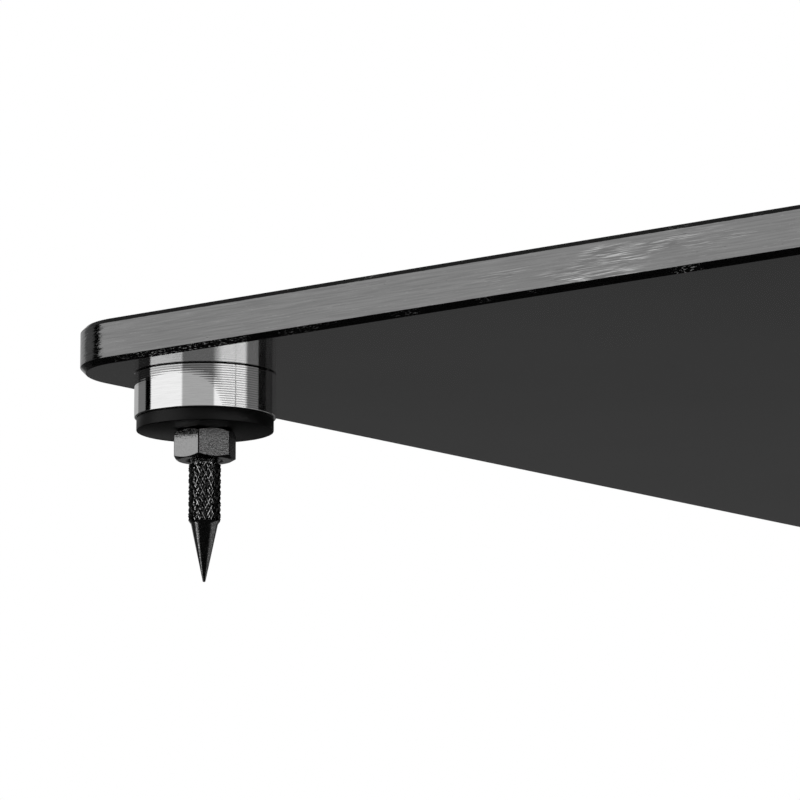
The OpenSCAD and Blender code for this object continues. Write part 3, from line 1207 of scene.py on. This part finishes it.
@dataclass
class Studio:
    """Floor, lamp, surroundings and camera.

    The surroundings are what gloss and glass mirror: three rows of upright panels
    round the stand, above the horizon, below it and lowest of all, read from their
    mirror image in the boss. A panel's angle is counted from the way to the camera as
    the front left foot sees it, positive to the camera's right. horizon and foot_level
    are the heights, as sines, over which one row passes into the next.
    """

    camera_mm: Place = (503.97, -820.75, -133.67)
    camera_deg: Place = (100.2273, 0.0, 39.2648)
    lens: float = 238.90
    clip_start_m: float = 0.01
    floor_r_m: float = 2.6
    floor_shade: str = "f4f4f4"
    floor_full_share: float = 0.35
    lamp_place_m: Place = (-1.3, -1.5, 1.9)
    lamp_aim_m: Place = (0.0, 0.0, 0.3)
    lamp_size_m: float = 1.2
    lamp_watts: float = 24.0
    plain_level: float = 0.75
    panel_fade: float = 0.06
    horizon: Point = (-0.15, -0.04)
    foot_level: Point = (-0.25, -0.215)
    front_deg: float = 48.6
    zenith: float = 0.09
    nadir: float = 0.01

    upper: tuple[Panel, ...] = (
        Panel(-140, 0.47, 0.35),
        Panel(-114, 0.18, 0.35),
        Panel(-99.5, 0.0, 0.35),
        Panel(-38, 1.0, 0.55),
        Panel(14, 0.43, 0.28),
        Panel(67.5, 1.0, 0.26),
        Panel(98, 0.19, 0.26),
        Panel(121, 0.001, 0.35),
        Panel(140, 0.035, 0.35),
        Panel(158, 0.16, 0.35),
        Panel(180, 0.03, 0.35),
    )
    lower: tuple[Panel, ...] = (
        Panel(-140, 0.1, 0.5),
        Panel(-101, 0.035, 0.5),
        Panel(-38, 1.5, 0.5),
        Panel(20, 0.35, 0.5),
        Panel(70, 2.15, 0.5, 16),
        Panel(96, 0.38, 0.5, 6),
        Panel(117, 0.002, 0.5),
        Panel(140, 0.045, 0.5),
        Panel(180, 0.105, 0.5),
    )
    lowest: tuple[Panel, ...] = (
        Panel(-94, 0.04, 0.4),
        Panel(-54, 0.75, 0.5, 8),
        Panel(112, 0.24, 0.5, 8),
        Panel(136, 0.3, 0.4, 8),
        Panel(180, 0.04, 0.4, 8),
    )

    def build(self) -> None:
        """Set up the whole studio."""
        bpy.context.scene.view_settings.view_transform = "Standard"
        self.place_camera()
        self.place_lamp()
        self.lay_floor()
        self.light_world()

    def place_camera(self) -> None:
        """Put the camera where it stood for the photograph."""
        data = bpy.data.cameras.new("camera")
        data.lens = self.lens
        data.clip_start = self.clip_start_m
        camera = bpy.data.objects.new("camera", data)
        camera.location = Vector(self.camera_mm) * MM
        camera.rotation_euler = [math.radians(a) for a in self.camera_deg]
        bpy.context.scene.collection.objects.link(camera)
        bpy.context.scene.camera = camera

    def place_lamp(self) -> None:
        """Hang one large soft lamp, high on the camera's left."""
        data = bpy.data.lights.new("softbox", "AREA")
        data.energy = self.lamp_watts
        data.size = self.lamp_size_m
        lamp = bpy.data.objects.new("softbox", data)
        lamp.location = self.lamp_place_m
        aim = Vector(self.lamp_aim_m) - lamp.location
        lamp.rotation_euler = aim.to_track_quat("-Z", "Y").to_euler()
        lamp.visible_glossy = False
        bpy.context.scene.collection.objects.link(lamp)

    def lay_floor(self) -> None:
        """Lay a pale floor that takes the shadow.

        The photograph was taken from below the floor, so the floor is clear from
        below. Gloss sees the panels through it, as in the photograph. For the camera
        it is full to floor_full_share of its radius, and fades from there to its rim.
        """
        bpy.ops.mesh.primitive_circle_add(
            vertices=96, radius=self.floor_r_m, fill_type="NGON"
        )
        floor = bpy.context.object
        floor.name = floor.data.name = "floor"
        material = bpy.data.materials.new("pale_floor")
        add = partial(add_node, empty_tree(material))
        matt = add("BsdfDiffuse", {"Color": linear(self.floor_shade)})
        clear = add("BsdfTransparent")
        where = add("TexCoord").outputs["Object"]
        reach = add("VectorMath", {0: where}, operation="LENGTH")
        fade = {
            "Value": reach.outputs["Value"],
            "From Min": self.floor_r_m * self.floor_full_share,
            "From Max": self.floor_r_m,
        }
        rim = add("MapRange", fade, interpolation_type="SMOOTHSTEP")
        side = add("NewGeometry").outputs["Backfacing"]
        path = add("LightPath").outputs
        far = {0: rim.outputs["Result"], 1: path["Is Camera Ray"]}
        hidden = add("Math", far, operation="MULTIPLY")
        for way in (side, path["Is Glossy Ray"]):
            both = {0: hidden.outputs["Value"], 1: way}
            hidden = add("Math", both, operation="MAXIMUM")
        layers = {
            "Fac": hidden.outputs["Value"],
            1: matt.outputs["BSDF"], 2: clear.outputs["BSDF"],
        }
        mixed = add("MixShader", layers)
        add("OutputMaterial", {"Surface": mixed.outputs["Shader"]})
        floor.data.materials.append(material)

    def panel_row(
        self, tree: NodeTree, angle: NodeSocket, height: NodeSocket,
        panels: tuple[Panel, ...], beyond: float,
    ) -> NodeSocket:
        """Set up a row of panels round the stand, each with its own height.

        Args:
            tree: The world's node tree.
            angle: The angle as a share of the full turn, from 0 to 1.
            height: The sine of the angle above or below the horizon.
            panels: The panels in order of their angle.
            beyond: The level past the panels' ends, straight up or down.

        Returns:
            The row's colour output.
        """
        add = partial(add_node, tree)
        stops, start = [], -180
        for panel, after in zip(panels, (*panels[1:], panels[0]), strict=True):
            colour = (panel.level, panel.level, panel.level, panel.top)
            for edge in (start + panel.soft / 2, panel.end - after.soft / 2):
                stops.append(((edge + 180) / 360, colour))
            start = panel.end
        row = add("ValToRGB", {"Fac": angle}, stops=stops)
        over = add("Math", {0: height, 1: row.outputs["Alpha"]}, operation="SUBTRACT")
        fade = {"Value": over.outputs["Value"], "From Max": self.panel_fade}
        past = add("MapRange", fade, interpolation_type="SMOOTHSTEP")
        levels = {
            "Factor": past.outputs["Result"],
            "A": row.outputs["Color"], "B": grey(beyond),
        }
        return add("Mix", levels, data_type="RGBA").outputs["Result"]

    def light_world(self) -> None:
        """Show white to the camera, panels to gloss and a plain level to the rest."""
        world = bpy.data.worlds.new("studio")
        bpy.context.scene.world = world
        tree = empty_tree(world)
        add = partial(add_node, tree)
        where = add("TexCoord").outputs["Generated"]
        turn = (0, 0, math.radians(self.front_deg))
        turned = add("Mapping", {"Vector": where, "Rotation": turn})
        parts = add("SeparateXYZ", {0: turned.outputs["Vector"]}).outputs
        angle = add("Math", {0: parts["Y"], 1: parts["X"]}, operation="ARCTAN2")
        full_turn = {
            "Value": angle.outputs["Value"], "From Min": -math.pi, "From Max": math.pi
        }
        share = add("MapRange", full_turn).outputs["Result"]
        height = add("Math", {0: parts["Z"]}, operation="ABSOLUTE")
        upper, lower, lowest = (
            self.panel_row(tree, share, height.outputs["Value"], panels, beyond)
            for panels, beyond in (
                (self.upper, self.zenith),
                (self.lower, self.nadir),
                (self.lowest, self.nadir),
            )
        )
        panels = upper
        for (bottom, top), row in ((self.horizon, lower), (self.foot_level, lowest)):
            blend = {"Value": parts["Z"], "From Min": bottom, "From Max": top}
            above = add("MapRange", blend)
            rows = {"Factor": above.outputs["Result"], "A": row, "B": panels}
            panels = add("Mix", rows, data_type="RGBA").outputs["Result"]
        path = add("LightPath").outputs
        mirrored = {0: path["Is Glossy Ray"], 1: path["Is Transmission Ray"]}
        gloss = add("Math", mirrored, operation="MAXIMUM")
        shown = grey(self.plain_level)
        for way, seen in (
            (gloss.outputs["Value"], panels),
            (path["Is Camera Ray"], grey(1.0)),
        ):
            views = {"Factor": way, "A": shown, "B": seen}
            shown = add("Mix", views, data_type="RGBA").outputs["Result"]
        light = add("Background", {"Color": shown})
        add("OutputWorld", {"Surface": light.outputs["Background"]})


def dress_frame() -> None:
    """Give the CAD nodes that stay their materials."""
    for name, finish in NODE_FINISHES.items():
        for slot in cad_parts[name].material_slots:
            slot.link = "OBJECT"
            slot.material = material_of(finish)
        log.info("%s: %s", name, finish.name)


def main() -> None:
    """Build the stand's visual model and its studio."""
    logging.basicConfig(level=logging.INFO, format="%(name)s: %(message)s")
    GlassBase().build()
    SpikeFeet().build()
    TopPads().build()
    dress_frame()
    Studio().build()


if __name__ == "__main__":
    main()
